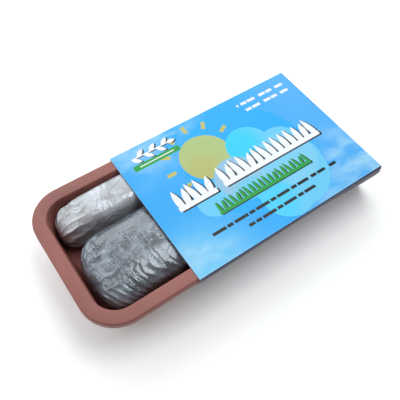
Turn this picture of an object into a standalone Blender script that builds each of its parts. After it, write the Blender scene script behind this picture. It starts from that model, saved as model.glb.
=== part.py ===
"""A wheatgrass growing kit: a moulded tray, a pouch of seeds and a pouch of substrate lying in it, and a
card sleeve that slides along the tray like the cover of a matchbox, here drawn partly off it.

Frame: metres, +Z up, X along the kit's length. The origin is on the surface that the kit lies on, under
the middle of its bounding box. The sleeve's lower panel lies on that surface.
"""

from math import cos, pi, sin

import bmesh
import bpy
from mathutils import Vector

MM = 0.001

# Driving dimensions
LENGTH = 168 * MM            # the tray and the sleeve are equally long
SLEEVE_TOP_WIDTH = 120 * MM
SLEEVE_BASE_WIDTH = 95 * MM
EXPOSED_LENGTH = 74 * MM     # how far the tray stands out of the sleeve's left mouth
TRAY_HEIGHT = 35.6 * MM
RIM_WIDTH = 9.6 * MM         # flat flange, from the cavity's edge to the outer edge
LIP_DROP = 5.6 * MM          # how far the flange turns down at its outer edge
RIM_RADIUS = 27 * MM         # plan radius of the flange's outer corners
CARD = 0.45 * MM
PLASTIC = 1.4 * MM
FILM = 0.4 * MM
POUCH_LENGTH = 120 * MM
SEED_POUCH_WIDTH = 27.3 * MM
SUBSTRATE_POUCH_WIDTH = 63.3 * MM

FOLD = 0.6 * MM              # how far a fold cuts a corner of the sleeve's section

# Clearances
GAP = 0.35 * MM              # between pieces that rest on each other
SLIP = 0.35 * MM             # between the tray's rim and the sleeve
SIDE_ROOM = 1.15 * MM        # between the flange's edge and the sleeve's side at its top
POUCH_SIDE_ROOM = 0.75 * MM  # between a pouch and the cavity's wall halfway up
POUCH_END_ROOM = 1.6 * MM    # the same at the left end
ROOM_OVER_SUBSTRATE = 2.8 * MM
ROOM_OVER_SEEDS = 1.4 * MM

# Levels and places that follow from them
TRAY_BASE_Z = CARD + GAP
RIM_Z = TRAY_BASE_Z + TRAY_HEIGHT
SLEEVE_TOP_Z = RIM_Z + SLIP + CARD
FLOOR_Z = TRAY_BASE_Z + PLASTIC
LIP_Z = RIM_Z - LIP_DROP
KIT_LENGTH = LENGTH + EXPOSED_LENGTH
TRAY_X = -KIT_LENGTH / 2 + LENGTH / 2
SLEEVE_X = KIT_LENGTH / 2 - LENGTH / 2
RIM_HALF_WIDTH = SLEEVE_TOP_WIDTH / 2 - CARD - SIDE_ROOM
CAVITY_HALF_WIDTH = RIM_HALF_WIDTH - RIM_WIDTH
CAVITY_HALF_LENGTH = LENGTH / 2 - RIM_WIDTH
WALL_LEAN = 4.6 * MM         # how far a cavity wall leans outward between the floor and the rim
WALL_SLOPE = WALL_LEAN / (RIM_Z - FLOOR_Z)
POUCH_X = TRAY_X - CAVITY_HALF_LENGTH + WALL_LEAN / 2 + POUCH_END_ROOM + POUCH_LENGTH / 2
POUCH_SIDE_Y = CAVITY_HALF_WIDTH - WALL_LEAN / 2 - POUCH_SIDE_ROOM

CORNER_STEPS = 8
POUCH_AROUND = 28
POUCH_ALONG = 18
FLATTER_BELOW = 0.3         # added to a pouch form's fullness under its middle

COLORS = {
    "terracotta": (0.33, 0.125, 0.105),
    "printed card": (0.10, 0.47, 0.95),
    "clear film": (0.75, 0.80, 0.84),
    "wheat grain": (0.48, 0.31, 0.14),
    "substrate": (0.055, 0.035, 0.028),
}


def clear_scene():
    for old in list(bpy.data.objects):
        bpy.data.objects.remove(old, do_unlink=True)


def make_collection(name):
    collection = bpy.data.collections.new(name)
    bpy.context.scene.collection.children.link(collection)
    return collection


def make_material(name, roughness, alpha=1.0):
    material = bpy.data.materials.new(name)
    material.use_nodes = True
    shader = material.node_tree.nodes["Principled BSDF"]
    shader.inputs["Base Color"].default_value = (*COLORS[name], 1)
    shader.inputs["Roughness"].default_value = roughness
    shader.inputs["Metallic"].default_value = 0
    shader.inputs["Alpha"].default_value = alpha
    return material


def make_object(name, bm, collection, material, place=(0, 0, 0)):
    mesh = bpy.data.meshes.new(name)
    bm.to_mesh(mesh)
    bm.free()
    mesh.materials.append(material)
    piece = bpy.data.objects.new(name, mesh)
    piece.location = place
    collection.objects.link(piece)
    return piece


def add_wall(piece, thickness):
    """Gives an open surface its thickness, which grows behind its faces."""
    wall = piece.modifiers.new("wall", "SOLIDIFY")
    wall.thickness = thickness
    wall.offset = -1
    wall.use_even_offset = True


def rounded_rectangle(bm, half_length, half_width, radius, z):
    """A level ring of vertices, counterclockwise from +X, the same number of them for every size."""
    ring = []
    for corner in range(4):
        start = corner * pi / 2
        x_sign = 1 if corner in (0, 3) else -1
        y_sign = 1 if corner in (0, 1) else -1
        centre = Vector((x_sign * (half_length - radius), y_sign * (half_width - radius), z))
        for step in range(CORNER_STEPS + 1):
            angle = start + step * (pi / 2) / CORNER_STEPS
            ring.append(bm.verts.new(centre + radius * Vector((cos(angle), sin(angle), 0))))
    return ring


def join_rings(bm, lower, upper):
    """Faces between two rings, which point to the ring's inside when upper is above lower."""
    count = len(lower)
    for i in range(count):
        j = (i + 1) % count
        bm.faces.new((lower[i], upper[i], upper[j], lower[j]))


def build_tray(collection):
    """The tray's upper surface, floor, leaning walls, flange and turned-down lip, then its thickness."""
    floor_fillet = 4 * MM
    rim_fillet = 1.2 * MM
    inner_radius = RIM_RADIUS - RIM_WIDTH
    tightening = 3 * MM          # how much the cavity's corners tighten down to the fillet, and again below it
    floor_length = CAVITY_HALF_LENGTH - WALL_LEAN
    floor_width = CAVITY_HALF_WIDTH - WALL_LEAN
    sections = (
        (floor_length - floor_fillet, floor_width - floor_fillet, inner_radius - 2 * tightening, FLOOR_Z),
        (floor_length + floor_fillet * WALL_SLOPE, floor_width + floor_fillet * WALL_SLOPE,
         inner_radius - tightening, FLOOR_Z + floor_fillet),
        (CAVITY_HALF_LENGTH - rim_fillet * WALL_SLOPE, CAVITY_HALF_WIDTH - rim_fillet * WALL_SLOPE,
         inner_radius, RIM_Z - rim_fillet),
        (CAVITY_HALF_LENGTH + rim_fillet, CAVITY_HALF_WIDTH + rim_fillet,
         inner_radius + rim_fillet, RIM_Z),
        (LENGTH / 2 - rim_fillet, RIM_HALF_WIDTH - rim_fillet, RIM_RADIUS - rim_fillet, RIM_Z),
        (LENGTH / 2, RIM_HALF_WIDTH, RIM_RADIUS, RIM_Z - rim_fillet),
        (LENGTH / 2, RIM_HALF_WIDTH, RIM_RADIUS, LIP_Z),
    )
    bm = bmesh.new()
    rings = [rounded_rectangle(bm, *section) for section in sections]
    bm.faces.new(rings[0])
    for lower, upper in zip(rings, rings[1:]):
        join_rings(bm, lower, upper)
    tray = make_object("tray", bm, collection, make_material("terracotta", 0.45), (TRAY_X, 0, 0))
    add_wall(tray, PLASTIC)


def sleeve_outline():
    """The sleeve's outer section as (y, z) points, counterclockwise seen from +X.

    Each side panel runs down over the tray's lip and then leans in towards the narrower lower panel.
    """
    lip_half_width = RIM_HALF_WIDTH + SLIP + CARD
    half = (
        (SLEEVE_BASE_WIDTH / 2 - FOLD, 0),
        (SLEEVE_BASE_WIDTH / 2, FOLD),
        (lip_half_width, LIP_Z - FOLD / 2),
        (SLEEVE_TOP_WIDTH / 2, SLEEVE_TOP_Z - FOLD),
        (SLEEVE_TOP_WIDTH / 2 - FOLD, SLEEVE_TOP_Z),
    )
    return list(half) + [(-y, z) for y, z in reversed(half)]


def build_sleeve(collection):
    """The section drawn along the sleeve's length as an open tube, then its card thickness inward."""
    bm = bmesh.new()
    ends = []
    for x in (-LENGTH / 2, LENGTH / 2):
        ends.append([bm.verts.new((x, y, z)) for y, z in sleeve_outline()])
    join_rings(bm, ends[1], ends[0])
    sleeve = make_object("sleeve", bm, collection, make_material("printed card", 0.3), (SLEEVE_X, 0, 0))
    add_wall(sleeve, CARD)


class PouchForm:
    """A plump pouch lying along X: an even section between two rounded ends.

    A fullness of 2 is an ellipse, and a higher one is squarer. The sides may lean with the tray's wall.
    """

    def __init__(self, y_start, width, top_z, end_length, end_fullness, top_fullness, lean):
        self.end = Vector((end_length, width / 2, (top_z - FLOOR_Z - GAP) / 2))
        self.straight = POUCH_LENGTH / 2 - end_length
        self.centre = Vector((POUCH_X, y_start + self.end.y, FLOOR_Z + GAP + self.end.z))
        self.end_fullness = end_fullness
        self.top_fullness = top_fullness
        self.lean = lean

    def point(self, direction, inset):
        """Where a ray from an end's middle meets the form, drawn in on every side by inset."""
        along, across, up = (abs(part) for part in direction)
        power = self.top_fullness if direction.z > 0 else self.end_fullness + FLATTER_BELOW
        section = (across ** power + up ** power) ** (1 / power)
        reach = (along ** self.end_fullness + section ** self.end_fullness) ** (-1 / self.end_fullness)
        end = self.end - Vector((inset, inset, inset))
        place = Vector([size * part * reach for size, part in zip(end, direction)])
        if abs(direction.x) > 1e-4:
            place.x += self.straight * (1 if direction.x > 0 else -1)
        place.y += self.lean * place.z
        return self.centre + place


def pouch_surface(form, inset):
    """A sphere with its poles on X, each vertex moved out to the pouch's form."""
    bm = bmesh.new()
    bmesh.ops.create_uvsphere(bm, u_segments=POUCH_AROUND, v_segments=POUCH_ALONG, radius=1)
    for vertex in bm.verts:
        along, across, up = vertex.co.z, vertex.co.x, vertex.co.y
        direction = Vector((along, across, up)).normalized()
        vertex.co = form.point(direction, inset)
    return bm


def open_mouth(bm):
    """Opens the pouch's right end, where its loose mouth is folded, by removing the faces round the pole."""
    pole = max(bm.verts, key=lambda vertex: vertex.co.x)
    bmesh.ops.delete(bm, geom=[pole], context="VERTS")


def build_pouch(name, form, collection, material):
    bm = pouch_surface(form, 0)
    open_mouth(bm)
    pouch = make_object(name, bm, collection, material)
    add_wall(pouch, FILM)


def build_fill(name, form, collection, material):
    make_object(name, pouch_surface(form, FILM + GAP), collection, material)


def build_pouches(collection):
    """The substrate pouch on the near side and the taller, narrower seed pouch against the far wall."""
    film = make_material("clear film", 0.12, alpha=0.35)
    substrate_form = PouchForm(-POUCH_SIDE_Y, SUBSTRATE_POUCH_WIDTH, SLEEVE_TOP_Z - ROOM_OVER_SUBSTRATE,
                               end_length=30 * MM, end_fullness=2.7, top_fullness=3.2, lean=0)
    seed_form = PouchForm(POUCH_SIDE_Y - SEED_POUCH_WIDTH, SEED_POUCH_WIDTH, SLEEVE_TOP_Z - ROOM_OVER_SEEDS,
                          end_length=27 * MM, end_fullness=2.7, top_fullness=5, lean=WALL_SLOPE)
    build_pouch("substrate_pouch", substrate_form, collection, film)
    build_fill("substrate_fill", substrate_form, collection, make_material("substrate", 0.9))
    build_pouch("seed_pouch", seed_form, collection, film)
    build_fill("seed_fill", seed_form, collection, make_material("wheat grain", 0.6))


def main():
    clear_scene()
    kit = make_collection("wheatgrass_kit")
    build_tray(kit)
    build_sleeve(kit)
    build_pouches(kit)


main()
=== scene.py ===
from math import cos, pi, radians, sin

import bmesh
import bpy
import numpy as np
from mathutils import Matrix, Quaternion, Vector, noise
from mathutils.bvhtree import BVHTree


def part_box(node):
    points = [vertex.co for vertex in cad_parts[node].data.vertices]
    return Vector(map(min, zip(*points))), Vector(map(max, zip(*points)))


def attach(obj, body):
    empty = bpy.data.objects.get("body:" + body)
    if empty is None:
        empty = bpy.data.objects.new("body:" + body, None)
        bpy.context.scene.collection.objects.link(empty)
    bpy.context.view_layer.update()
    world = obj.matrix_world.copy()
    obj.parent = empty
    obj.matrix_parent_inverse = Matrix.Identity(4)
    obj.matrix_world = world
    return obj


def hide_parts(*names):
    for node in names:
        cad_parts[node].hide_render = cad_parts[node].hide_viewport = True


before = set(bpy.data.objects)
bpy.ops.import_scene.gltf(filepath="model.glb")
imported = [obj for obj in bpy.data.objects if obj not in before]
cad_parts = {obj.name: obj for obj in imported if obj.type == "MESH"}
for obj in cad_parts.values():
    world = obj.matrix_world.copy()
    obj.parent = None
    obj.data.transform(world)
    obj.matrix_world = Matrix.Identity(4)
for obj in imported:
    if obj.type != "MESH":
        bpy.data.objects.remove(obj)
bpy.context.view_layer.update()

MM = 0.001
FLOAT, VECTOR = "NodeSocketFloat", "NodeSocketVector"

# Places and sizes from the frame
TRAY_LOW, TRAY_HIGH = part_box("tray")
SLEEVE_LOW, SLEEVE_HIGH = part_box("sleeve")
LENGTH = TRAY_HIGH.x - TRAY_LOW.x
RIM_HALF_WIDTH = TRAY_HIGH.y
RIM_Z = TRAY_HIGH.z
BASE_Z = TRAY_LOW.z
TRAY_X = (TRAY_LOW.x + TRAY_HIGH.x) / 2
SLEEVE_HALF_WIDTH = SLEEVE_HIGH.y
SLEEVE_Z = SLEEVE_HIGH.z

# The maker's own sizes
PLASTIC = 1.4 * MM
RIM_WIDTH = 9.6 * MM
LIP_DROP = 5.6 * MM
RIM_RADIUS = 27 * MM
WALL_LEAN = 4.6 * MM
CARD = 0.45 * MM
TOP_WIDTH = 120              # the sleeve's printed top, in millimetres
SUN = (62, 80.5)             # the sun's middle on it
INK_SHARE = 0.87             # the printed colours are given as seen, under the room's light and
GLOSS_LIFT = 0.035           # with the laminate's gloss, which are taken off again here
SLEEVE_BASE_HALF_WIDTH = 47.5 * MM
POUCH_LENGTH = 120 * MM
POUCH_FULLNESS = 2.7

# How the film is simulated, and how far it may end up from its form
FILM_SCALE = 20
FILM_FRAMES = 18
FILM_STIFFNESS = 28
FILM_BENDING = 0.03
FILM_GRIP = 0.1
FILM_OUT = 1.3 * MM
FILM_IN = 1.7 * MM
FILM_CLEARANCE = 0.2 * MM
FOLD_DEPTH = 1.5 * MM
PLEAT_PITCH = 6.2 * MM       # between the folds on the near side
PLEAT_SLANT = 14.5 * MM      # how far they run along the pouch for each radian round it

# Single sharp creases: (x, y, half length, turn in degrees), in millimetres
SUBSTRATE_CREASES = ((-64.0, -20.5, 16.0, -79.0), (-79.0, -30.0, 9.0, -72.0), (-52.0, -10.0, 7.0, -84.0),
                     (-70.0, -3.0, 6.0, -70.0), (-84.0, -20.0, 8.0, -66.0))
SEED_CREASES = ((-68.0, 35.0, 10.0, 66.0), (-62.0, 33.0, 9.0, 82.0), (-75.0, 30.0, 7.0, 48.0),
                (-55.0, 38.0, 6.0, 20.0), (-84.0, 33.0, 6.0, 100.0))


# ---- camera, lights and floor

def point_at(name, data, place, target, tilt=0.0):
    """A camera or light at its place that faces the target, tilted by so many degrees."""
    item = bpy.data.objects.new(name, data)
    item.location = place
    item.rotation_mode = "QUATERNION"
    roll = Quaternion((0, 0, 1), radians(tilt))
    item.rotation_quaternion = (target - place).to_track_quat("-Z", "Y") @ roll
    bpy.context.scene.collection.objects.link(item)
    return item


def add_camera():
    lens = bpy.data.cameras.new("camera")
    lens.lens = 46.59
    lens.sensor_width = 36
    place, target = Vector((-133.8, -168.9, 350.0)) * MM, Vector((-11.5, -8.4, 37.2)) * MM
    bpy.context.scene.camera = point_at("camera", lens, place, target, 2.97)


def add_panel_light(name, place, size, watts, color):
    panel = bpy.data.lights.new(name, "AREA")
    panel.shape = "RECTANGLE"
    panel.size, panel.size_y = size
    panel.energy = watts
    panel.color = color
    point_at(name, panel, Vector(place), Vector((0, 0, 0.02)))


def add_studio():
    """A white floor and room, and three soft panels: above, behind and at the left.
    """
    bpy.context.scene.view_settings.view_transform = "Standard"
    world = bpy.data.worlds.new("room")
    world.use_nodes = True
    n = Nodes(world.node_tree)
    back_share = n.split(n.add("ShaderNodeTexCoord").outputs["Generated"])["Y"]
    sky = world.node_tree.nodes["Background"].inputs
    seen = n.add("ShaderNodeLightPath").outputs["Is Camera Ray"]
    n.feed(sky["Strength"], n.math("MAXIMUM", seen, n.ramp(back_share, -0.45, 0.50, 0.10, 0.64)))
    sky["Color"].default_value = (1, 1, 1, 1)
    bpy.context.scene.world = world
    add_panel_light("overhead_panel", (0.25, 0.0, 0.85), (0.6, 0.42), 3.6, (0.95, 0.98, 1))
    add_panel_light("back_panel", (0.15, 0.72, 0.62), (1.3, 0.62), 5.3, (0.92, 0.97, 1))
    add_panel_light("left_panel", (-0.62, 0.3, 0.68), (0.5, 0.6), 1.7, (0.95, 0.98, 1))

    bm = bmesh.new()
    bmesh.ops.create_grid(bm, x_segments=1, y_segments=1, size=3)
    paper, _, shader = start_material("white backdrop")
    shader.inputs["Base Color"].default_value = (0.93, 0.93, 0.93, 1)
    shader.inputs["Roughness"].default_value = 0.8
    shader.inputs["Emission Color"].default_value = (1, 1, 1, 1)
    shader.inputs["Emission Strength"].default_value = 0.2
    mesh_object("floor", bm, [paper])


# ---- node helpers

def start_material(name):
    """A new material, the helper that adds its nodes, and its shader."""
    material = bpy.data.materials.new(name)
    material.use_nodes = True
    return material, Nodes(material.node_tree), material.node_tree.nodes["Principled BSDF"]


class Nodes:
    """Short calls that add nodes to one tree and wire them: an argument is a socket or a plain value."""

    def __init__(self, tree):
        self.tree = tree

    def add(self, kind, inputs=None, **settings):
        node = self.tree.nodes.new(kind)
        for key, value in settings.items():
            setattr(node, key, value)
        for key, value in (inputs or {}).items():
            self.feed(node.inputs[key], value)
        return node

    def feed(self, socket, value):
        if isinstance(value, bpy.types.NodeSocket):
            self.tree.links.new(value, socket)
        else:
            socket.default_value = value

    def math(self, operation, *values):
        return self.add("ShaderNodeMath", dict(enumerate(values)), operation=operation).outputs[0]

    def times(self, *values):
        return self.math("MULTIPLY", *values)

    def highest(self, masks):
        total = masks[0]
        for mask in masks[1:]:
            total = self.math("MAXIMUM", total, mask)
        return total

    def vector(self, operation, *values):
        node = self.add("ShaderNodeVectorMath", dict(enumerate(values)), operation=operation)
        return node.outputs["Value" if operation in ("LENGTH", "DISTANCE") else "Vector"]

    def split(self, vector):
        return self.add("ShaderNodeSeparateXYZ", {"Vector": vector}).outputs

    def join(self, x, y, z=0.0):
        return self.add("ShaderNodeCombineXYZ", {"X": x, "Y": y, "Z": z}).outputs[0]

    def place(self):
        """The surface's own place, which stays with the piece when it moves."""
        return self.add("ShaderNodeTexCoord").outputs["Object"]

    def stretched(self, place, *scale):
        return self.add("ShaderNodeMapping", {"Vector": place, "Scale": scale}).outputs[0]

    def paint(self, shader, color, roughness, height, strength, distance):
        """Wires the shader's colour, its roughness and, through a bump, its normal."""
        bump = self.add("ShaderNodeBump", {"Height": height, "Strength": strength, "Distance": distance})
        for socket, value in (("Base Color", color), ("Roughness", roughness), ("Normal", bump.outputs[0])):
            self.feed(shader.inputs[socket], value)

    def ramp(self, value, low, high, to_low=0.0, to_high=1.0, smooth=True):
        """The value's way from low to high, told again from to_low to to_high and held at both ends."""
        return self.add("ShaderNodeMapRange", {"Value": value, "From Min": low, "From Max": high,
                                               "To Min": to_low, "To Max": to_high},
                        interpolation_type="SMOOTHSTEP" if smooth else "LINEAR").outputs["Result"]

    def mix(self, mask, below, above):
        return self.add("ShaderNodeMix", {0: mask, 6: below, 7: above}, data_type="RGBA").outputs[2]

    def noise(self, coordinates, scale, detail=3.0, roughness=0.5, distortion=0.0, kind="Fac"):
        node = self.add("ShaderNodeTexNoise", {"Vector": coordinates, "Scale": scale, "Detail": detail,
                                               "Roughness": roughness, "Distortion": distortion})
        return node.outputs[kind]

    def noise_warp(self, place, scale, amount):
        """The place pushed about by noise, so that what reads it isn't regular."""
        push = self.vector("MULTIPLY", self.noise(place, scale, 2.0, kind="Color"), (amount,) * 3)
        return self.vector("ADD", place, push)

    def group(self, group, inputs):
        return self.add("ShaderNodeGroup", inputs, node_tree=group)


def new_group(name, inputs, outputs, kind="ShaderNodeTree"):
    """An empty node group: inputs and outputs are (name, socket type, default) and (name, type)."""
    group = bpy.data.node_groups.new(name, kind)
    for label, socket_type, default in inputs:
        socket = group.interface.new_socket(label, in_out="INPUT", socket_type=socket_type)
        if default is not None:
            socket.default_value = default
    for label, socket_type in outputs:
        group.interface.new_socket(label, in_out="OUTPUT", socket_type=socket_type)
    nodes = Nodes(group)
    return group, nodes, nodes.add("NodeGroupInput").outputs, nodes.add("NodeGroupOutput").inputs


def srgb(red, green, blue):
    """A colour as seen on screen, 0 to 255, as the linear numbers that a shader takes."""
    def linear(part):
        part /= 255
        return part / 12.92 if part <= 0.04045 else ((part + 0.055) / 1.055) ** 2.4
    return (linear(red), linear(green), linear(blue), 1.0)


# ---- mesh helpers

def mesh_object(name, bm, materials):
    mesh = bpy.data.meshes.new(name)
    bm.to_mesh(mesh)
    bm.free()
    for material in materials:
        mesh.materials.append(material)
    piece = bpy.data.objects.new(name, mesh)
    bpy.context.scene.collection.objects.link(piece)
    mesh.shade_smooth()
    return piece


def add_modifier(piece, name, kind, **settings):
    modifier = piece.modifiers.new(name, kind)
    for key, value in settings.items():
        setattr(modifier, key, value)


def apply_modifiers(piece):
    """The evaluated piece as its plain mesh, with no modifier left."""
    graph = bpy.context.evaluated_depsgraph_get()
    graph.update()
    made = bpy.data.meshes.new_from_object(piece.evaluated_get(graph), preserve_all_data_layers=True,
                                           depsgraph=graph)
    old = piece.data
    piece.modifiers.clear()
    piece.data = made
    bpy.data.meshes.remove(old)


def part_way(value, low, high):
    """How far the value has come from low to high, from 0 to 1 and no further."""
    return min(1, max(0, (value - low) / (high - low)))


def finish_piece(piece, body, node):
    """Says which body the piece rides on, and hides the CAD solid it stands for."""
    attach(piece, body)
    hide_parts(node)


# ---- the moulded tray

def arc(centre, radius, start, end, steps):
    """Points on a circle in the (inset, z) plane, from one angle in degrees to the other."""
    turn = [radians(start + (end - start) * i / steps) for i in range(steps + 1)]
    return [(centre[0] + radius * cos(a), centre[1] + radius * sin(a)) for a in turn]


def tray_profile():
    """The tray's upper surface from the floor's middle out to the lip's lower edge.

    Each point is (inset from the outer edge, z). The wall leans outward from the floor to the rim.
    """
    floor_z = BASE_Z + PLASTIC
    wall_foot = RIM_WIDTH + WALL_LEAN
    slope = WALL_LEAN / (RIM_Z - floor_z)
    floor_round, rim_round, edge_round = 4 * MM, 1.3 * MM, 1.1 * MM
    lean = np.degrees(np.arctan(slope))
    floor_arc = arc((wall_foot + floor_round - slope * floor_round, floor_z + floor_round), floor_round,
                    270, 180 + lean, 6)
    rim_arc = arc((RIM_WIDTH - rim_round * 0.6, RIM_Z - rim_round), rim_round, lean, 90, 5)
    edge_arc = arc((edge_round, RIM_Z - edge_round), edge_round, 90, 180, 5)
    return floor_arc + rim_arc + edge_arc + [(0, RIM_Z - LIP_DROP)]


def rounded_ring(bm, inset, z, radius, corner_steps=14, side_steps=8):
    """A level closed ring of vertices round the tray, inset from its outer edge."""
    across_x, across_y = LENGTH / 2 - inset - radius, RIM_HALF_WIDTH - inset - radius
    centres = [Vector((TRAY_X + sx * across_x, sy * across_y, z))
               for sx, sy in ((1, 1), (-1, 1), (-1, -1), (1, -1))]
    ring = []
    for corner, centre in enumerate(centres):
        turns = [(corner + step / corner_steps) * pi / 2 for step in range(corner_steps + 1)]
        spokes = [radius * Vector((cos(turn), sin(turn), 0)) for turn in turns]
        ring += [centre + spoke for spoke in spokes]
        side_end = centres[(corner + 1) % 4] + spokes[-1]
        ring += [(centre + spokes[-1]).lerp(side_end, i / side_steps) for i in range(1, side_steps)]
    return [bm.verts.new(point) for point in ring]


def tray_radius(inset, z):
    """The corners tighten from the rim's outer edge to the cavity, and again down to the floor."""
    if inset <= RIM_WIDTH:
        return RIM_RADIUS - inset
    depth = (RIM_Z - z) / (RIM_Z - BASE_Z)
    cavity = RIM_RADIUS - RIM_WIDTH - 3 * MM * depth
    below_wall = max(0, inset - RIM_WIDTH - WALL_LEAN)
    return max(6 * MM, cavity - below_wall)


def build_tray():
    bm = bmesh.new()
    rings = [rounded_ring(bm, inset, z, tray_radius(inset, z)) for inset, z in tray_profile()]
    floor = rings[0]
    middle = Vector((TRAY_X, 0, floor[0].co.z))
    for shrink in (0.8, 0.5, 0.2):
        rings.insert(0, [bm.verts.new(middle.lerp(v.co, shrink)) for v in floor])
    bm.faces.new(rings[0])
    for lower, upper in zip(rings, rings[1:]):
        for i in range(len(lower)):
            bm.faces.new((lower[i - 1], upper[i - 1], upper[i], lower[i]))
    tray = mesh_object("tray_moulding", bm, [terracotta_plastic()])
    add_modifier(tray, "wall", "SOLIDIFY", thickness=PLASTIC, offset=-1, use_even_offset=True)
    add_modifier(tray, "lip edge", "BEVEL", width=0.35 * MM, segments=2, limit_method="ANGLE",
                 angle_limit=radians(60))
    apply_modifiers(tray)
    tray.data.shade_smooth()
    finish_piece(tray, "tray_body", "tray")


def moulded_grain():
    """The fine orange-peel of moulded plastic: its height, and a mask of scuffs."""
    group, n, given, out = new_group("moulded grain", [("Scale", FLOAT, 1.0)],
                                     [("Height", FLOAT), ("Scuffs", FLOAT)])
    place = n.place()
    fine = n.noise(place, n.times(given["Scale"], 2600.0), 2.0, 0.6)
    broad = n.noise(place, n.times(given["Scale"], 320.0), 3.0, 0.55)
    n.feed(out["Height"], n.math("ADD", fine, n.times(broad, 0.8)))
    scratch = n.noise(n.stretched(place, 0.5, 3.0, 1.0), n.times(given["Scale"], 180.0), 5.0, 0.7)
    n.feed(out["Scuffs"], n.ramp(scratch, 0.58, 0.72))
    return group


def terracotta_plastic():
    """Brown-red polypropylene: satin, a little paler where it is rubbed and where dust lies."""
    material, n, shader = start_material("terracotta plastic")
    place = n.place()
    grain = n.group(moulded_grain(), {"Scale": 1.0})
    cloudy = n.noise(place, 22.0, 4.0, 0.6)
    color = n.mix(n.ramp(cloudy, 0.3, 0.7), srgb(134, 77, 69), srgb(149, 89, 81))
    color = n.mix(n.times(grain.outputs["Scuffs"], 0.25), color, srgb(176, 122, 112))
    n.paint(shader, color, n.ramp(cloudy, 0.2, 0.8, 0.42, 0.56), grain.outputs["Height"], 0.25, 0.06 * MM)
    return material


# ---- the card sleeve

def rounded_path(corners, radius, steps=4):
    """The polyline through (y, z) corners with each inner corner rounded, as points with their run so far."""
    points = [Vector(corners[0])]
    for before, corner, after in zip(corners, corners[1:], corners[2:]):
        corner = Vector(corner)
        arrive = (Vector(before) - corner).normalized()
        leave = (Vector(after) - corner).normalized()
        turn = arrive.angle(leave) / 2
        reach = min(radius / np.tan(turn), 4 * radius)
        start, end = corner + arrive * reach, corner + leave * reach
        for i in range(steps + 1):
            t = i / steps
            points.append(start.lerp(corner, t).lerp(corner.lerp(end, t), t))
    points.append(Vector(corners[-1]))
    return points


def sleeve_corners():
    """The outer section of the folded card as (y, z), from the glue flap's end round to the far side's edge.

    The flap stands inside the far side panel. The near and far panels run down over the tray's lip and
    then lean in to the narrower lower panel.
    """
    lip_half_width = RIM_HALF_WIDTH + 0.8 * MM
    lip_z = RIM_Z - LIP_DROP - 0.3 * MM
    lap = CARD + 0.05 * MM
    flap_height = 13 * MM
    lean = (lip_half_width - SLEEVE_BASE_HALF_WIDTH) / lip_z
    near = [(-SLEEVE_BASE_HALF_WIDTH, 0), (-lip_half_width, lip_z), (-SLEEVE_HALF_WIDTH, SLEEVE_Z)]
    far = [(SLEEVE_HALF_WIDTH, SLEEVE_Z), (lip_half_width, lip_z),
           (SLEEVE_BASE_HALF_WIDTH + 0.6 * MM * lean, 0.6 * MM)]
    flap = [(SLEEVE_BASE_HALF_WIDTH - lap + flap_height * lean, flap_height),
            (SLEEVE_BASE_HALF_WIDTH - lap, 0)]
    return flap + near + far


def fine_path(points, longest=4 * MM):
    """The path with its long runs divided, so that the panels can bow."""
    fine = [points[0]]
    for point in points[1:]:
        count = max(1, int(np.ceil((point - fine[-1]).length / longest)))
        start = fine[-1]
        fine += [start.lerp(point, i / count) for i in range(1, count + 1)]
    return fine


def panel_bow(x, y, z):
    """How far a side panel stands out: nothing where the tray holds it, most at the empty mouth."""
    free = part_way(x, TRAY_HIGH.x + 4 * MM, SLEEVE_HIGH.x + 4 * MM)
    across = sin(pi * part_way(z, 0, SLEEVE_Z)) ** 0.8
    return 2.6 * MM * free * free * (3 - 2 * free) * across


def build_sleeve():
    path = fine_path(rounded_path(sleeve_corners(), 0.7 * MM))
    runs = np.cumsum([0] + [(b - a).length for a, b in zip(path, path[1:])])
    fold = next(run for point, run in zip(path, runs) if point.y > SLEEVE_Z - 1e-6)
    columns = 43
    bm = bmesh.new()
    grid = []
    for column in range(columns):
        x = SLEEVE_LOW.x + LENGTH * column / (columns - 1)
        row = []
        for point in path:
            y, z = point
            out = panel_bow(x, y, z) * (1 if y > 0 else -1) if abs(y) > SLEEVE_BASE_HALF_WIDTH - 1 * MM else 0
            wave = noise.noise(Vector((x * 18, y * 14, z * 30))) * 0.16 * MM
            inner = -abs(wave) if z > SLEEVE_Z - 0.1 * MM else (abs(wave) if z < 0.1 * MM else 0)
            row.append(bm.verts.new((x, y + out, z + inner)))
        grid.append(row)
    card_uv = bm.loops.layers.uv.new("card")
    for left, right, column in zip(grid, grid[1:], range(columns)):
        for i in range(len(path) - 1):
            face = bm.faces.new((left[i], right[i], right[i + 1], left[i + 1]))
            along = (column, column + 1, column + 1, column)
            across = (i, i, i + 1, i + 1)
            for loop, a, b in zip(face.loops, along, across):
                loop[card_uv].uv = (LENGTH * a / (columns - 1), runs[b] - fold)
    fibres = paper_fibres()
    back = bare_card("card back", fibres, srgb(234, 231, 225), srgb(225, 220, 211), (0.4, 1.0, 1.0))
    edge = bare_card("cut card edge", fibres, srgb(238, 238, 236), srgb(206, 208, 210), (2.0, 1.0, 0.5))
    sleeve = mesh_object("card_sleeve", bm, [printed_card(), back, edge])
    add_modifier(sleeve, "card", "SOLIDIFY", thickness=CARD, offset=-1, material_offset=1,
                 material_offset_rim=2)
    apply_modifiers(sleeve)
    sleeve.data.set_sharp_from_angle(angle=radians(50))
    finish_piece(sleeve, "sleeve_body", "sleeve")


# The print on the sleeve, in millimetres from the top panel's near left corner

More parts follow.
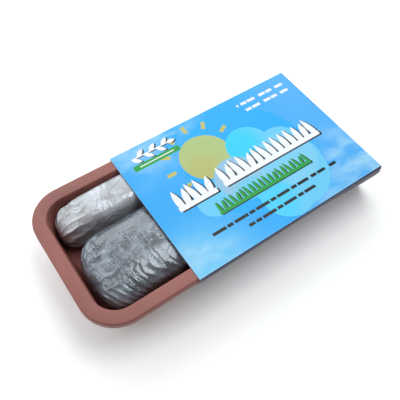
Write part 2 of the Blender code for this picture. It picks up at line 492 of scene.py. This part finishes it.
def shape_groups():
    """Shared print shapes. Each gives 1 inside its outline and 0 outside, with a fine printed edge."""
    def start(name, sizes):
        sockets = [("Place", VECTOR, None), ("Centre", VECTOR, None)]
        sockets += [(size, FLOAT, usual) for size, usual in sizes.items()]
        groups[name], n, given, out = new_group(name, sockets, [("Mask", FLOAT)])
        return n, given, out["Mask"]

    groups = {}
    n, given, mask = start("disc", {"Radius": 5.0, "Soft": 0.25})
    away = n.vector("DISTANCE", given["Place"], given["Centre"])
    n.feed(mask, n.ramp(away, n.math("ADD", given["Radius"], given["Soft"]),
                        n.math("SUBTRACT", given["Radius"], given["Soft"])))

    n, given, mask = start("bar", {"Half Length": 5.0, "Half Width": 1.0, "Round": 0.5, "Turn": 0.0})
    past = [n.math("SUBTRACT", n.math("ABSOLUTE", part), n.math("SUBTRACT", given[size], given["Round"]))
            for part, size in zip(turned_place(n, given), ("Half Length", "Half Width"))]
    outside = n.vector("LENGTH", n.join(*[n.math("MAXIMUM", part, 0.0) for part in past]))
    inside = n.math("MINIMUM", n.math("MAXIMUM", *past), 0.0)
    edge = n.math("SUBTRACT", n.math("ADD", outside, inside), given["Round"])
    n.feed(mask, n.ramp(edge, 0.15, -0.15))

    n, given, mask = start("leaf", {"Half Length": 5.0, "Half Width": 1.5, "Turn": 0.0})
    along, across = turned_place(n, given)
    along = n.math("DIVIDE", along, given["Half Length"])
    across = n.math("DIVIDE", n.math("ABSOLUTE", across), given["Half Width"])
    body = n.math("SUBTRACT", 1.0, n.times(along, along))
    n.feed(mask, n.ramp(n.math("SUBTRACT", body, across), -0.06, 0.10))
    return groups


def turned_place(n, given):
    """The place seen from a shape's own middle, turned with it, as two sockets: along and across."""
    turned = n.add("ShaderNodeVectorRotate", {"Vector": n.vector("SUBTRACT", given["Place"], given["Centre"]),
                                              "Angle": n.times(n.math("RADIANS", given["Turn"]), -1.0)},
                   rotation_type="Z_AXIS")
    parts = n.split(turned.outputs[0])
    return parts["X"], parts["Y"]


class Print:
    """Lays flat colours over each other on the card, as a printer's plates do."""

    def __init__(self, n, place, color):
        self.n, self.place, self.color, self.shapes = n, place, color, shape_groups()

    def mask(self, shape, centre, place=None, **sizes):
        inputs = {key.replace("_", " ").title(): value for key, value in sizes.items()}
        inputs |= {"Place": place or self.place, "Centre": (*centre, 0)}
        return self.n.group(self.shapes[shape], inputs).outputs["Mask"]

    def lay(self, mask, color, strength=1.0):
        if strength < 1:
            mask = self.n.times(mask, strength)
        self.color = self.n.mix(mask, self.color, color)

    def shifted(self, dx, dy):
        return self.n.vector("ADD", self.place, (-dx, -dy, 0))


def repeated(n, place, start, pitch):
    """The place folded into one cell of a row that starts at x = start, and the cell's number."""
    parts = n.split(place)
    run = n.math("DIVIDE", n.math("SUBTRACT", parts["X"], start), pitch)
    cell = n.math("FLOOR", run)
    local = n.times(n.math("SUBTRACT", n.math("SUBTRACT", run, cell), 0.5), pitch)
    return n.join(local, parts["Y"]), cell


def leafy_twig(p, place, centre, half_length):
    """A lying twig with leaves on alternate sides and one at its tip."""
    x, y = centre
    marks = [p.mask("bar", centre, place, half_length=half_length, half_width=0.55, round=0.5),
             p.mask("leaf", (x + half_length + 2.5, y), place, half_length=3.8, half_width=1.9)]
    count = 6
    for i in range(count):
        side = 1 if i % 2 else -1
        foot = x - half_length + 3 + i * 2 * half_length / count
        marks.append(p.mask("leaf", (foot, y + side * 2.6), place, half_length=4.4, half_width=1.9,
                            turn=38.0 * side))
    return p.n.highest(marks)


def grass_blades(p, place, low, high, start, count, pitch, half_width):
    """A row of blades of grass, each leaning and as tall as its own random number says."""
    n = p.n
    local, cell = repeated(n, place, start, pitch)
    chance = n.add("ShaderNodeTexWhiteNoise", {"W": cell}, noise_dimensions="1D").outputs["Value"]
    height = high - low
    upright = n.math("ADD", 90.0, n.times(n.math("SUBTRACT", chance, 0.5), 26.0))
    tall = n.ramp(chance, 0.0, 1.0, height * 0.47, height * 0.62, smooth=False)
    blade = p.mask("leaf", (0, low + height * 0.38), local, half_length=tall, half_width=half_width,
                   turn=upright)
    base = p.mask("bar", (start + count * pitch / 2, low + height * 0.1), place,
                  half_length=count * pitch / 2, half_width=height * 0.1, round=0.9)
    within = n.times(n.math("GREATER_THAN", cell, -0.5), n.math("LESS_THAN", cell, count - 0.5))
    above = n.ramp(n.split(place)["Y"], low, low + 0.3)
    return n.math("MAXIMUM", base, n.times(n.times(blade, within), above))


def dashes(p, centre, half_length, half_width):
    """A plain line broken into uneven dashes."""
    n = p.n
    line = p.mask("bar", centre, half_length=half_length, half_width=half_width, round=half_width * 0.8)
    x = n.split(p.place)["X"]
    wobble = n.math("ADD", x, n.times(n.math("SINE", n.times(x, 0.31)), 2.2))
    beat = n.math("FRACT", n.math("DIVIDE", wobble, 9.5))
    return n.times(line, n.ramp(beat, 0.80, 0.83, 1.0, 0.0, smooth=False))


def print_top(p):
    """Sky, sun, a large cloud and the ornaments."""
    n = p.n
    white, navy, leaf_green = srgb(250, 252, 254), srgb(8, 16, 48), srgb(62, 168, 84)
    p.lay(p.mask("disc", (88, 62), radius=50.0, soft=0.5), srgb(46, 180, 255), 0.8)

    for turn in range(0, 240, 30):
        centre = (SUN[0] + 31 * cos(radians(turn)), SUN[1] + 31 * sin(radians(turn)))
        p.lay(p.mask("bar", centre, half_length=3.8, half_width=1.6, round=0.7, turn=float(turn)),
              srgb(202, 198, 116))
    sun = p.mask("disc", SUN, radius=21.0)
    p.lay(sun, srgb(184, 204, 140))
    p.lay(n.times(p.mask("disc", (52, 68), radius=15.0, soft=9.0), sun), srgb(196, 190, 116), 0.7)

    cloud = [p.mask("disc", centre, radius=radius) for centre, radius in
             (((96, 71), 18.5), ((119, 59), 16.5), ((104, 36), 33.0), ((119, 41), 19.5), ((43, 44), 12.5),
              ((72, 50), 20.0), ((92, 21), 20.5), ((57, 46), 14.0))]
    whole = n.highest(cloud)
    p.lay(whole, srgb(118, 210, 250))
    p.lay(n.times(cloud[0], p.mask("disc", (88, 76), radius=20.0, soft=10.0)), srgb(64, 214, 255), 0.9)
    p.lay(p.mask("disc", (72, 50), radius=19.5), srgb(164, 202, 228), 0.85)
    p.lay(n.times(p.mask("disc", (112, 45), radius=24.0), whole), srgb(142, 214, 246), 0.7)
    p.lay(p.mask("disc", (43, 44), radius=12.0), srgb(122, 212, 252), 0.6)
    p.lay(n.times(p.mask("disc", (74, 22), radius=24.0, soft=6.0), whole), srgb(74, 216, 255), 0.7)

    for dx, dy, color in ((1.3, -1.3, navy), (0, 0, white)):
        for start, count in ((18.5, 5), (58.0, 14)):
            p.lay(grass_blades(p, p.shifted(dx, dy), 49.5, 70.0, start, count, 6.6, 2.7), color)
    for dx, dy, color in ((0.9, -0.9, navy), (0, 0, leaf_green)):
        p.lay(grass_blades(p, p.shifted(dx, dy), 32.0, 44.5, 41.0, 20, 4.25, 1.25), color)
    for centre, half_length in (((83.5, 22), 58.5), ((83, 14), 31.0)):
        p.lay(dashes(p, centre, half_length, 1.25), navy)
    for centre, half_length in (((136, 108.6), 24.0), ((137.5, 101.2), 22.5)):
        p.lay(dashes(p, centre, half_length, 1.35), white, 0.9)

    for dx, dy, color in ((0.9, -0.9, navy), (0, 0, white)):
        p.lay(leafy_twig(p, p.shifted(dx, dy), (29.0, 108.5), 16.0), color)
    p.lay(p.mask("bar", (30, 99.6), half_length=20.0, half_width=2.6, round=0.8), leaf_green)
    p.lay(p.mask("bar", (30, 99.6), half_length=15.0, half_width=0.5, round=0.4), white, 0.9)


def printed_card():
    """Gloss-laminated card, printed on its outer side, rubbed white along its folds, with painted shade: its
    side panels are dark navy.
    """
    material, n, shader = start_material("printed card")
    uv = n.add("ShaderNodeUVMap", uv_map="card").outputs["UV"]
    place = n.vector("MULTIPLY", uv, (1 / MM,) * 3)
    parts = n.split(place)
    x, y = parts["X"], parts["Y"]

    sky = n.mix(n.ramp(x, 20.0, 90.0), srgb(74, 180, 252), srgb(58, 178, 253))
    sky = n.mix(n.ramp(x, 100.0, 160.0), sky, srgb(94, 182, 250))
    p = Print(n, place, sky)
    # Paler patches towards the card's corners: a soft disc, then streaks of noise at each corner.
    p.lay(p.mask("disc", (12, 2), radius=28.0, soft=26.0), srgb(126, 212, 250), 0.8)
    streaky_noise = n.noise(n.stretched(place, 0.5, 1.0, 1.0), 0.06, 4.0, 0.55, 0.3)
    for corner, radius, soft, amount in (((22, 124), 30.0, 28.0, 0.75), ((60, 126), 16.0, 16.0, 0.5),
                                         ((8, 0), 24.0, 18.0, 0.9), ((162, 16), 26.0, 20.0, 0.9),
                                         ((120, -6), 20.0, 16.0, 0.6)):
        reach = p.mask("disc", corner, radius=radius, soft=soft)
        p.lay(n.times(reach, n.ramp(streaky_noise, 0.34, 0.62)), srgb(176, 226, 252), amount)
    print_top(p)

    on_top = n.times(n.math("GREATER_THAN", y, -0.2), n.math("LESS_THAN", y, TOP_WIDTH + 0.2))
    # The side panels are laid in dark navy: a painted shade, standing for the shadow that falls on the
    # sleeve's sides.
    side = n.mix(n.ramp(streaky_noise, 0.35, 0.65), srgb(36, 48, 78), srgb(46, 62, 98))
    ink = n.vector("MULTIPLY_ADD", n.mix(on_top, side, p.color), (INK_SHARE,) * 3, (-GLOSS_LIFT,) * 3)
    color = n.vector("MAXIMUM", ink, (0, 0, 0))

    rub = n.noise(place, 0.9, 4.0, 0.7)
    folds = n.highest([n.ramp(n.math("ABSOLUTE", n.math("SUBTRACT", y, fold)), 0.0, 0.9, 1.0, 0.0)
                       for fold in (0, TOP_WIDTH)])
    worn = n.times(folds, n.ramp(rub, 0.45, 0.75))
    color = n.mix(n.times(worn, 0.55), color, srgb(225, 238, 246))
    fibre = n.noise(place, 3.2, 3.0, 0.6)
    roughness = n.math("ADD", n.ramp(fibre, 0.3, 0.7, 0.30, 0.38), n.times(worn, 0.3))
    shader.inputs["Specular IOR Level"].default_value = 0.3
    n.paint(shader, color, roughness, fibre, 0.12, 0.05 * MM)
    return material


def paper_fibres():
    """The fibres of bare card: a mask of flecks, and their height."""
    group, n, given, out = new_group("paper fibres", [("Stretch", VECTOR, (1.0, 1.0, 1.0))],
                                     [("Fleck", FLOAT), ("Height", FLOAT)])
    place = n.place()
    pulled = n.vector("MULTIPLY", place, given["Stretch"])
    n.feed(out["Fleck"], n.ramp(n.noise(pulled, 420.0, 3.0, 0.6), 0.35, 0.65))
    n.feed(out["Height"], n.noise(pulled, 1500.0, 4.0, 0.7, 0.6))
    return group


def bare_card(name, group, pale, dark, stretch):
    """Unprinted card, pale with darker flecks, its fibres stretched along each axis by one over stretch."""
    material, n, shader = start_material(name)
    fibres = n.group(group, {"Stretch": stretch}).outputs
    n.paint(shader, n.mix(fibres["Fleck"], pale, dark), 0.85, fibres["Height"], 0.2, 0.03 * MM)
    return material


# ---- the film pouches

class PouchForm:
    """A plump pouch lying along X, as its CAD solid is: an even section between two rounded ends.

    A fullness of 2 is an ellipse, and a higher one is squarer. The sides may lean with the tray's wall.
    """

    def __init__(self, node, middle_y, width, end_length, top_fullness, lean, end_pleats, side_pleats):
        self.node = node
        low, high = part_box(node)
        self.half = Vector((POUCH_LENGTH / 2, width / 2, (high.z - low.z) / 2))
        self.centre = Vector((low.x + self.half.x, middle_y, low.z + self.half.z))
        self.end_length, self.top_fullness, self.lean = end_length, top_fullness, lean
        self.end_pleats, self.side_pleats = end_pleats, side_pleats

    def end_share(self, x):
        """0 along the even part of the pouch, rising to 1 at the tip of an end."""
        straight = self.half.x - self.end_length
        return max(0, abs(x - self.centre.x) - straight) / self.end_length

    def point(self, box_point, inset=0.0):
        """Where a point of the -1 to 1 box lands on the form, drawn in on every side by inset."""
        straight = self.half.x - self.end_length
        x = box_point.x * self.half.x
        over = max(0, abs(x) - straight) / self.end_length
        power = self.top_fullness if box_point.z > 0 else POUCH_FULLNESS + 0.3
        section = (abs(box_point.y) ** power + abs(box_point.z) ** power) ** (1 / power)
        reach = 1 / max(section, 1e-6)
        if over > 0:
            reach = (over ** POUCH_FULLNESS + section ** POUCH_FULLNESS) ** (-1 / POUCH_FULLNESS)
            x = (straight + over * reach * (self.end_length - inset)) * (1 if x > 0 else -1)
        place = Vector((x, box_point.y * reach * (self.half.y - inset),
                        box_point.z * reach * (self.half.z - inset)))
        place.y += self.lean * place.z
        return self.centre + place

    def around(self, place):
        """The angle round the pouch's length: 0 on the crest, rising to a quarter turn at the near side."""
        off = place - self.centre
        return float(np.arctan2(-(off.y - self.lean * off.z) / self.half.y, off.z / self.half.z))


def box_grid(counts):
    """A closed box of even quads from -1 to 1, with the given number of them along each axis."""
    bm = bmesh.new()
    nx, ny, nz = counts
    for axis, across, up in ((0, ny, nz), (1, nz, nx), (2, nx, ny)):
        for side in (1, -1):
            made = bmesh.ops.create_grid(bm, x_segments=across, y_segments=up, size=1)
            for vertex in made["verts"]:
                u, w = vertex.co.x, vertex.co.y * side
                vertex.co = ((side, u, w), (w, side, u), (u, w, side))[axis]
    bmesh.ops.remove_doubles(bm, verts=bm.verts, dist=1e-5)
    bmesh.ops.recalc_face_normals(bm, faces=bm.faces)
    return bm


def ridge(run, sharpness):
    """A row of narrow crests, one for each whole number of run: 1 on a crest and 0 between them."""
    return (1 - abs(sin(pi * run))) ** sharpness


def pleats(form, place):
    """How far the film stands out, 0 or less: folds fanned round the ends and slanting down the near side."""
    end = part_way(form.end_share(place.x), 0.05, 0.55)
    angle = form.around(place)
    warp = noise.noise(place * 40) * 0.8 + noise.noise(place * 110) * 0.3
    fan = ridge(angle * form.end_pleats / (2 * pi) + 1.3 * warp + place.x * 30, 1.5)
    fan *= end * (0.35 + 0.65 * min(1, abs(angle) / 0.9))
    left = part_way(form.centre.x - place.x, -2 * MM, 48 * MM)
    down = part_way(angle, 0.30, 0.80) * part_way(-angle, -2.7, -2.3)
    run = (place.x - PLEAT_SLANT * angle) / PLEAT_PITCH + 1.6 * warp
    uneven = min(1.0, max(0.2, 0.75 + 0.9 * noise.noise(place * 60 + Vector((9.2, 4.1, 0)))))
    side = ridge(run, 1.2) * down * (0.4 + 0.6 * left) * uneven * form.side_pleats
    tall = max(fan * (1 - down * form.side_pleats), side)
    broad = noise.noise(place * 30 + Vector((3.1, 0, 7.7)))
    return FOLD_DEPTH * (tall - max(end, down * form.side_pleats)) + 0.5 * MM * (broad - 0.5)


def crumple(piece, cut, hold):
    """Lets film that was cut to larger places settle over the piece's own shape.

    It is simulated at a larger size, where the solver is steady, without gravity, and each vertex is held
    to its own place as firmly as its weight in hold says.
    """
    for vertex in piece.data.vertices:
        vertex.co *= FILM_SCALE
    piece.shape_key_add(name="held")
    pattern = piece.shape_key_add(name="cut")
    for point, place in zip(pattern.data, cut):
        point.co = place * FILM_SCALE
    group = piece.vertex_groups.new(name="hold")
    for index, weight in enumerate(hold):
        group.add([index], weight, "REPLACE")
    cloth = piece.modifiers.new("film", "CLOTH")
    film = cloth.settings
    film.quality = 5
    film.mass = 0.1
    film.tension_stiffness = film.compression_stiffness = FILM_STIFFNESS
    film.shear_stiffness = FILM_STIFFNESS / 2
    film.bending_stiffness = FILM_BENDING
    film.bending_damping = 0.5
    film.vertex_group_mass = "hold"
    film.pin_stiffness = FILM_GRIP
    film.rest_shape_key = pattern
    film.effector_weights.gravity = 0
    cloth.collision_settings.use_collision = False
    cloth.point_cache.frame_start = 1
    cloth.point_cache.frame_end = FILM_FRAMES
    for frame_number in range(1, FILM_FRAMES + 1):
        bpy.context.scene.frame_set(frame_number)
    settled = piece.evaluated_get(bpy.context.evaluated_depsgraph_get()).data
    places = [vertex.co / FILM_SCALE for vertex in settled.vertices]
    piece.modifiers.clear()
    piece.shape_key_clear()
    piece.vertex_groups.clear()
    for vertex, place in zip(piece.data.vertices, places):
        vertex.co = place
    bpy.context.scene.frame_set(1)


def neighbours_of(name):
    """A search tree for each CAD solid that the pouch may not press into."""
    trees = []
    for node in ("tray", "seed_pouch", "substrate_pouch"):
        if node != name:
            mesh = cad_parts[node].data
            trees.append(BVHTree.FromPolygons([vertex.co for vertex in mesh.vertices],
                                              [face.vertices for face in mesh.polygons]))
    return trees


def hold_in_place(piece, form, bases, normals, others):
    """Keeps the film clear of its neighbours and of the sleeve's path, and near its own form."""
    for vertex, base, normal in zip(piece.data.vertices, bases, normals):
        room = min(tree.find_nearest(base)[3] for tree in others)
        outward = min(FILM_OUT, max(0.0, room - FILM_CLEARANCE) / 2)
        off = vertex.co - base
        along = off.dot(normal)
        held = min(outward, max(-FILM_IN, along))
        vertex.co = base + normal * held + (off - normal * along) * 0.8
        vertex.co.z = min(vertex.co.z, RIM_Z - FILM_CLEARANCE)


def build_film(form, counts, material, spare_length, spare_round):
    """A pouch's film: pleated over its form, then crumpled by the length it has to spare."""
    bm = box_grid(counts)
    bases = [form.point(vertex.co, 0.1 * MM) for vertex in bm.verts]
    for vertex, base in zip(bm.verts, bases):
        vertex.co = base
    bm.normal_update()
    normals = [vertex.normal.copy() for vertex in bm.verts]
    cut, hold = [], []
    for vertex, base, normal in zip(bm.verts, bases, normals):
        vertex.co = base + normal * pleats(form, base)
        off = vertex.co - form.centre
        low = 0.5 - 0.5 * off.z / form.half.z
        longer = 1 + spare_length * (0.5 + low)
        wider = 1 + spare_round * (0.2 + form.end_share(base.x))
        cut.append(form.centre + Vector((off.x * longer, off.y * wider, off.z * wider)))
        hold.append(0.08 + 0.16 * (1 - low) ** 2)
    film = mesh_object(form.node + "_film", bm, [material])
    crumple(film, cut, hold)
    hold_in_place(film, form, bases, normals, neighbours_of(form.node))
    add_modifier(film, "smooth", "SUBSURF", levels=1, render_levels=1)
    apply_modifiers(film)
    film.data.shade_smooth()
    finish_piece(film, "tray_body", form.node)


def film_creases():
    """Creases of thin film: fine lines across the pouch and crossing folds, with a whitening mask.

    The lines run along Y, leaning by Slant. Pitch is their spacing in metres.
    """
    group, n, given, out = new_group("film creases", [("Slant", FLOAT, 0.15), ("Pitch", FLOAT, 0.003),
                                                      ("Folds", FLOAT, 0.5)],
                                     [("Height", FLOAT), ("Whitening", FLOAT)])
    place = n.place()
    parts = n.split(place)
    lean = n.math("ADD", parts["X"], n.times(parts["Y"], given["Slant"]))
    wander = n.noise(place, 28.0, 3.0, 0.6)
    run = n.math("ADD", n.math("DIVIDE", lean, given["Pitch"]), n.times(wander, 5.0))
    along = n.join(run, n.times(parts["Y"], 26.0), n.times(parts["Z"], 40.0))
    streak = n.noise(along, 0.9, 1.4, 0.5, 0.2)
    line = n.ramp(n.math("ABSOLUTE", n.math("SUBTRACT", streak, 0.5)), 0.0, 0.05, 1.0, 0.0)
    line = n.times(line, n.ramp(n.noise(place, 55.0, 2.0, 0.5), 0.42, 0.62))
    facets = n.add("ShaderNodeTexVoronoi", {"Vector": n.noise_warp(place, 45.0, 0.012), "Scale": 62.0},
                   feature="DISTANCE_TO_EDGE")
    fold = n.ramp(facets.outputs["Distance"], 0.0, 0.06, 1.0, 0.0)
    fold = n.times(fold, n.ramp(n.noise(place, 90.0, 2.0, 0.5), 0.40, 0.60))
    both = n.math("MAXIMUM", line, n.times(fold, given["Folds"]))
    n.feed(out["Height"], n.math("ADD", n.times(streak, 0.8), both))
    n.feed(out["Whitening"], both)
    return group


def long_creases(n, lines):
    """Single sharp creases on a pouch's top: each is (x, y, half length, turn in degrees), in millimetres."""
    bend = 3.0
    place = n.vector("MULTIPLY", n.place(), (1 / MM, 1 / MM, 0.0))
    pushed = n.vector("MULTIPLY", n.noise(place, 0.12, 2.0, kind="Color"), (bend, bend, 0.0))
    place = n.vector("ADD", place, pushed)
    bars = [n.group(bpy.data.node_groups["bar"], {"Place": place, "Centre": (x + bend / 2, y + bend / 2, 0),
                                                  "Half Length": half_length, "Half Width": 0.28,
                                                  "Round": 0.2, "Turn": turn})
            for x, y, half_length, turn in lines]
    return n.highest([bar.outputs["Mask"] for bar in bars])


def clear_film(name, creases, clear, milky_sheen, haze, flank_share, open_share, slant, folds, index, lines):
    """Thin glossy film: its colour and how much it hides follow its haze, its creases and painted light.

    haze is its least and its most. The haze is partly a painted sheen, milkier higher up and on level parts.
    flank_share is how much of it is left on the steep flanks, away from the gathered left end: painted shade
    where it is below 1, painted sheen where it is above.
    """
    material, n, shader = start_material(name)
    place = n.place()
    parts = n.split(place)
    crease = n.group(creases, {"Slant": slant, "Pitch": 4.5 * MM, "Folds": folds}).outputs
    cloud = n.noise(place, 48.0, 4.0, 0.6, 0.5)
    # Painted sheen: the haze grows with height, so the top of the pouch is milkier.
    high = n.ramp(n.ramp(parts["Z"], 10 * MM, 30 * MM), 0.0, 1.0, 0.3, 1.0)
    upward = n.split(n.add("ShaderNodeNewGeometry").outputs["Normal"])["Z"]
    # Steep flanks away from the gathered left end: their haze, whitening and cover are painted shade or
    # sheen.
    flank_light_mask = n.times(n.ramp(upward, 0.55, 0.90, 1.0, 0.0), n.ramp(parts["X"], -92 * MM, -70 * MM))
    haze_and_sheen = n.times(n.times(n.ramp(cloud, 0.32, 0.68, *haze), high),
                   n.ramp(flank_light_mask, 0.0, 1.0, 1.0, flank_share, smooth=False))
    single = long_creases(n, lines)
    white = n.math("MAXIMUM", n.times(crease["Whitening"], 0.45), single)
    # Crease whitening is weaker on the steep flanks: painted shade.
    haze_and_sheen = n.math("MAXIMUM", haze_and_sheen, n.times(white, n.ramp(flank_light_mask, 0.0, 1.0, 0.8, 0.4)))
    cover = n.ramp(haze_and_sheen, 0.0, 1.0, open_share, 0.95, smooth=False)
    bare = min(1, flank_share + 0.25)
    n.feed(shader.inputs["Alpha"], n.times(cover, n.ramp(flank_light_mask, 0.0, 1.0, 1.0, bare, smooth=False)))
    shader.inputs["IOR"].default_value = index
    shader.inputs["Specular IOR Level"].default_value = 1.0
    shader.inputs["Specular Tint"].default_value = (0.86, 0.94, 1, 1)
    # The milky colour where the haze is: partly the film's own milkiness, partly a painted sheen.
    n.paint(shader, n.mix(haze_and_sheen, clear, milky_sheen), n.ramp(cloud, 0.3, 0.7, 0.16, 0.30),
            n.math("ADD", crease["Height"], n.times(single, 1.2)), 0.7, 0.5 * MM)
    return material


# ---- what fills the pouches

def grain_shape():
    """One wheat grain, 6.2 mm long: pointed at one end, blunt at the other, creased along its belly."""
    bm = bmesh.new()
    bmesh.ops.create_uvsphere(bm, u_segments=7, v_segments=6, radius=1)
    for vertex in bm.verts:
        x, y, z = vertex.co.z, vertex.co.x, vertex.co.y
        taper = 1 - 0.22 * x - 0.12 * x * x
        belly = 0.28 * max(0, 1 - abs(y) * 3.2) if z < 0 else 0
        vertex.co = Vector((x * 3.1, y * 1.6 * taper, (z * 1.35 + belly) * taper)) * MM
    bmesh.ops.recalc_face_normals(bm, faces=bm.faces)
    return mesh_object("one_wheat_grain", bm, [])


def crumb_shape():
    """One crumb of substrate: a broken, lumpy bit about 1 mm across."""
    bm = bmesh.new()
    bmesh.ops.create_icosphere(bm, subdivisions=1, radius=0.5 * MM)
    for vertex in bm.verts:
        vertex.co *= 1 + 0.45 * noise.noise(vertex.co * 2400 + Vector((5.2, 1.3, 9.1)))
    return mesh_object("one_crumb", bm, [])


def scatter_tree(name, settings):
    """Geometry Nodes: sows a shape over a surface, each turned and sized at random, and keeps the surface."""
    surface = ("Geometry", "NodeSocketGeometry")
    sockets = [(*surface, None), ("Shape", "NodeSocketObject", None), ("Seed", "NodeSocketInt", 4),
               ("Material", "NodeSocketMaterial", None)]
    sockets += [(label, FLOAT, value) for label, value in settings.items()]
    tree, n, given, out = new_group(name, sockets, [surface], "GeometryNodeTree")
    spots = n.add("GeometryNodeDistributePointsOnFaces", {"Mesh": given["Geometry"], "Seed": given["Seed"],
                                                          "Distance Min": given["Spacing"],
                                                          "Density Max": given["Density"]},
                  distribute_method="POISSON")
    shape = n.add("GeometryNodeObjectInfo", {"Object": given["Shape"]})
    spin = n.add("FunctionNodeRandomValue", data_type="FLOAT_VECTOR")
    tilt_back = n.times(given["Tilt"], -1.0)
    n.feed(spin.inputs[0], n.join(tilt_back, tilt_back, -pi))
    n.feed(spin.inputs[1], n.join(given["Tilt"], given["Tilt"], pi))
    size = n.add("FunctionNodeRandomValue", data_type="FLOAT")
    n.feed(size.inputs[2], given["Smallest"])
    n.feed(size.inputs[3], given["Largest"])
    euler = n.add("FunctionNodeEulerToRotation", {0: spin.outputs[0]})
    turned_by = n.add("FunctionNodeRotateRotation", {0: spots.outputs["Rotation"], 1: euler.outputs[0]},
                      rotation_space="LOCAL")
    sown = n.add("GeometryNodeInstanceOnPoints", {"Points": spots.outputs["Points"],
                                                  "Instance": shape.outputs["Geometry"],
                                                  "Rotation": turned_by.outputs[0],
                                                  "Scale": size.outputs[1]})
    loose = n.add("GeometryNodeRealizeInstances", {"Geometry": sown.outputs["Instances"]})
    joined = n.add("GeometryNodeJoinGeometry")
    tree.links.new(given["Geometry"], joined.inputs[0])
    tree.links.new(loose.outputs[0], joined.inputs[0])
    smooth = n.add("GeometryNodeSetShadeSmooth", {"Geometry": joined.outputs[0]})
    painted = n.add("GeometryNodeSetMaterial", {"Geometry": smooth.outputs[0], "Material": given["Material"]})
    n.feed(out["Geometry"], painted.outputs[0])
    return tree


def build_fill(name, node, slot_name, form, counts, inset, rough, shape, material, **settings):
    """A pouch's contents: a lumpy bed inside the film with its grains or crumbs sown over it."""
    bm = box_grid(counts)
    for vertex in bm.verts:
        place = form.point(vertex.co, inset)
        lump = noise.noise(place * 130) + 0.5 * noise.noise(place * 420)
        inward = (form.centre - place).normalized()
        vertex.co = place + inward * rough * (0.5 + 0.6 * lump)
    bed = mesh_object(name, bm, [])
    sow = bed.modifiers.new("sow", "NODES")
    sow.node_group = scatter_tree(name + " sowing", settings)
    entries = {item.name: item.identifier for item in sow.node_group.interface.items_tree
               if item.in_out == "INPUT"}
    sow[entries["Shape"]] = shape
    sow[entries["Material"]] = material
    apply_modifiers(bed)
    bpy.data.objects.remove(shape)
    finish_piece(bed, "tray_body", node)


def wheat_grain_skin():
    """Dry wheat: each grain its own shade of straw and tan, with darker flecks."""
    material, n, shader = start_material("wheat grain")
    place = n.place()
    shade = n.add("ShaderNodeTexVoronoi", {"Vector": place, "Scale": 210.0})
    each = n.add("ShaderNodeSeparateColor", {"Color": shade.outputs["Color"]}).outputs[0]
    fine = n.noise(place, 900.0, 3.0, 0.6)
    color = n.mix(each, srgb(176, 134, 84), srgb(214, 178, 126))
    color = n.mix(n.ramp(fine, 0.5, 0.8, 0.0, 0.5), color, srgb(138, 98, 60))
    n.paint(shader, color, n.ramp(fine, 0.3, 0.7, 0.45, 0.62), fine, 0.3, 0.1 * MM)
    return material


def dark_substrate():
    """Moist dark fibre and crumb: nearly black brown, with paler fibres and flecks."""
    material, n, shader = start_material("growing substrate")
    place = n.place()
    patch = n.noise(place, 160.0, 4.0, 0.65)
    fleck = n.noise(n.stretched(place, 1.0, 3.5, 1.0), 900.0, 3.0, 0.7, 0.5)
    color = n.mix(n.ramp(patch, 0.35, 0.65), srgb(36, 24, 24), srgb(66, 46, 42))
    color = n.mix(n.ramp(fleck, 0.66, 0.74, 0.0, 0.7), color, srgb(134, 104, 82))
    n.paint(shader, color, n.ramp(patch, 0.3, 0.7, 0.75, 0.95), patch, 0.5, 0.6 * MM)
    return material


def build_pouches():
    """The substrate pouch on the near side and the taller, narrower seed pouch against the far wall."""
    creases = film_creases()
    wall_lean = WALL_LEAN / (RIM_Z - BASE_Z - PLASTIC)
    substrate_form = PouchForm("substrate_pouch", middle_y=-14.1 * MM, width=63.3 * MM, end_length=30 * MM,
                               top_fullness=3.2, lean=0, end_pleats=24, side_pleats=1.0)
    seed_form = PouchForm("seed_pouch", middle_y=32.1 * MM, width=27.3 * MM, end_length=27 * MM,
                          top_fullness=5, lean=wall_lean, end_pleats=13, side_pleats=0.0)
    film = clear_film("substrate film", creases, srgb(24, 16, 17), srgb(194, 210, 226), haze=(0.22, 0.56),
                      flank_share=0.05, open_share=0.45, slant=0.15, folds=0.25, index=1.8,
                      lines=SUBSTRATE_CREASES)
    build_film(substrate_form, (100, 54, 28), film, spare_length=0.09, spare_round=0.14)
    film = clear_film("seed film", creases, srgb(142, 138, 138), srgb(216, 221, 229), haze=(0.4, 1.0),
                      flank_share=1.5, open_share=0.6, slant=-0.35, folds=0.6, index=1.7, lines=SEED_CREASES)
    build_film(seed_form, (100, 26, 30), film, spare_length=0.09, spare_round=0.16)
    build_fill("substrate_crumbs", "substrate_fill", "growing_substrate", substrate_form, (90, 48, 26),
               2.6 * MM, 0.6 * MM, crumb_shape(), dark_substrate(),
               Density=400000.0, Spacing=1.5 * MM, Tilt=3.0, Smallest=0.7, Largest=1.9)
    build_fill("seed_grains", "seed_fill", "wheat_grain", seed_form, (60, 16, 18),
               3.6 * MM, 0.5 * MM, grain_shape(), wheat_grain_skin(),
               Density=90000.0, Spacing=2.7 * MM, Tilt=0.35, Smallest=0.85, Largest=1.05)


# ---- run

add_camera()
add_studio()
build_tray()
build_sleeve()
build_pouches()
